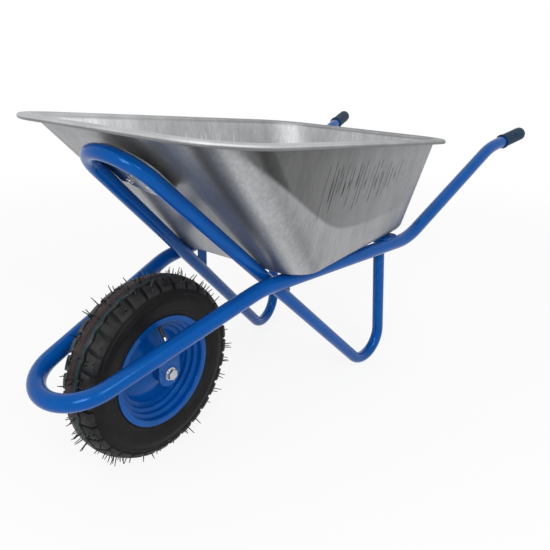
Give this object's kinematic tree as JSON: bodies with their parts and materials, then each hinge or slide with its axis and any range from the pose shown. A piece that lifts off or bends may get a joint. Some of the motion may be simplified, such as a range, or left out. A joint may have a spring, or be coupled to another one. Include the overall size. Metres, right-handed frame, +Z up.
{
  "type": "wheelbarrow",
  "caption": "Builder's barrow: drawn steel tray bolted to a bent tube frame with a looped front brace, legs and hand grips, on an air-filled wheel with ball bearings.",
  "frame": {"origin": "on the ground under the middle of the barrow's length", "axes": "+X back towards the handles, +Z up, symmetric about the XZ plane"},
  "size_m": [1.4578, 0.6458, 0.648],
  "materials": {
    "blue_paint": "gloss",
    "galvanised_sheet": "satin",
    "zinc_plate": "satin",
    "bearing_steel": "polished",
    "tyre_rubber": "matte",
    "soft_rubber": "matte",
    "seal_rubber": "matte",
    "grip_plastic": "matte"
  },
  "bodies": {
    "frame": {"main_tube": "blue_paint", "brace_tube": "blue_paint", "cross_strap": "blue_paint", "loop_plate": "zinc_plate", "left_post": "blue_paint", "right_post": "blue_paint", "left_axle_bracket": "blue_paint", "right_axle_bracket": "blue_paint", "tray": "galvanised_sheet", "strap_bolts": "zinc_plate", "strap_washers": "zinc_plate", "strap_nuts": "zinc_plate", "post_bolts": "zinc_plate", "post_washers": "zinc_plate", "post_nuts": "zinc_plate", "loop_bolts": "zinc_plate", "loop_spacers": "zinc_plate", "loop_washers": "zinc_plate", "loop_nuts": "zinc_plate", "left_grip": "grip_plastic", "right_grip": "grip_plastic", "axle_bolt": "zinc_plate", "axle_nut": "zinc_plate", "axle_washers": "zinc_plate", "centre_spacer": "zinc_plate", "left_end_spacer": "zinc_plate", "right_end_spacer": "zinc_plate", "left_inner_ring": "bearing_steel", "right_inner_ring": "bearing_steel"},
    "wheel": {"tyre": "tyre_rubber", "inner_tube": "soft_rubber", "left_rim_half": "blue_paint", "right_rim_half": "blue_paint", "hub_tube": "blue_paint", "valve_stem": "soft_rubber", "valve_cap": "zinc_plate", "left_outer_ring": "bearing_steel", "right_outer_ring": "bearing_steel", "left_seals": "seal_rubber", "right_seals": "seal_rubber"},
    "left_ball_set": {"left_balls": "bearing_steel", "left_cage": "bearing_steel"},
    "right_ball_set": {"right_balls": "bearing_steel", "right_cage": "bearing_steel"}
  },
  "joints": [
    {"name": "wheel_spin", "type": "hinge", "parent": "frame", "child": "wheel", "pos_m": [-0.48606, 0, 0.184], "axis": [0, 1, 0], "continuous": true},
    {"name": "left_ball_spin", "type": "hinge", "parent": "frame", "child": "left_ball_set", "pos_m": [-0.48606, 0, 0.184], "axis": [0, 1, 0], "continuous": true},
    {"name": "right_ball_spin", "type": "hinge", "parent": "frame", "child": "right_ball_set", "pos_m": [-0.48606, 0, 0.184], "axis": [0, 1, 0], "continuous": true}
  ],
  "couplings": [
    {"joint": "left_ball_spin", "follows": "wheel_spin", "ratio": 0.63182},
    {"joint": "right_ball_spin", "follows": "wheel_spin", "ratio": 0.63182}
  ]
}
